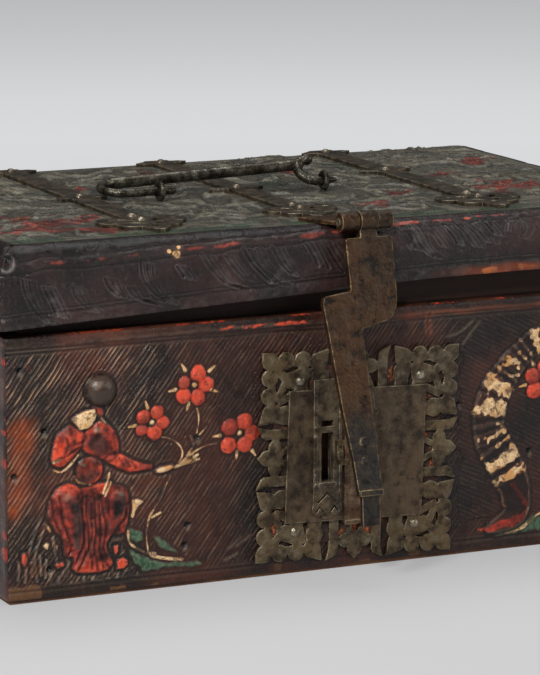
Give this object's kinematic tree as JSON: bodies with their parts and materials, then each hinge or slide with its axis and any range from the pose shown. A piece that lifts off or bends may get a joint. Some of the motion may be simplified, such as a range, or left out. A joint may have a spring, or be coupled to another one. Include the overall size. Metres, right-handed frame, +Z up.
{
  "type": "coffer",
  "caption": "Leather-covered wooden coffer with a hinged lid, iron straps, a pierced lock plate with a dog-legged hasp and sliding bolt, and a swing handle.",
  "frame": {"origin": "centre of the coffer's underside, on the floor", "axes": "+X to the right along the front, +Y to the back (the front with the lock plate faces -Y), +Z up"},
  "size_m": [0.276, 0.2069, 0.141],
  "materials": {
    "wood": "aged oak or beech, plain, hidden by the leather except at the lip, the underside and inside",
    "leather": "dark tooled and cut leather, worn, with remains of red, green and cream paint",
    "cloth": "faded orange-red cloth under the pierced plate",
    "dark_iron": "forged iron, brown-grey patina",
    "brown_iron": "forged iron, brown patina with rubbed edges",
    "worn_iron": "iron rubbed bright on the high spots"
  },
  "bodies": {
    "box": {"bottom_board": "wood", "front_board": "wood", "back_board": "wood", "left_end_board": "wood", "right_end_board": "wood", "wall_pegs": "wood", "body_leather": "leather", "lock_underlay": "cloth", "lock_plate": "dark_iron", "lock_cover": "dark_iron", "slot_frame": "dark_iron", "guide_strip": "brown_iron", "keyhole_guard": "dark_iron", "plate_nails": "worn_iron", "lock_base": "dark_iron", "bolt_guides": "dark_iron", "lock_spring": "dark_iron", "hinge_leaf_left": "dark_iron", "hinge_leaf_middle": "dark_iron", "hinge_leaf_right": "dark_iron", "hinge_pins": "worn_iron", "leaf_nails": "dark_iron"},
    "bolt": {"lock_bolt": "worn_iron"},
    "lid": {"lid_board": "wood", "lid_front_rail": "wood", "lid_back_rail": "wood", "lid_left_rail": "wood", "lid_right_rail": "wood", "lid_pegs": "wood", "lid_leather": "leather", "left_strap": "dark_iron", "middle_strap": "dark_iron", "right_strap": "dark_iron", "strap_nails": "worn_iron", "hasp_leaf": "brown_iron", "hasp_pin": "dark_iron", "handle_eyes": "dark_iron"},
    "hasp": {"hasp": "brown_iron", "hasp_staple": "dark_iron", "hasp_rivets": "dark_iron"},
    "handle": {"handle": "dark_iron"}
  },
  "joints": [
    {"name": "lid_hinge", "type": "hinge", "parent": "box", "child": "lid", "pos_m": [0, 0.0909, 0.0976], "axis": [-1, 0, 0], "range_deg": [0, 105]},
    {"name": "hasp_hinge", "type": "hinge", "parent": "lid", "child": "hasp", "pos_m": [0.0018, -0.0906, 0.1295], "axis": [-1, 0, 0], "range_deg": [-12, 200]},
    {"name": "handle_swing", "type": "hinge", "parent": "lid", "child": "handle", "pos_m": [-0.01, -0.0095, 0.1318], "axis": [1, 0, 0], "range_deg": [0, 150]},
    {"name": "bolt_slide", "type": "slide", "parent": "box", "child": "bolt", "axis": [-1, 0, 0], "range_m": [0, 0.0085]}
  ]
}
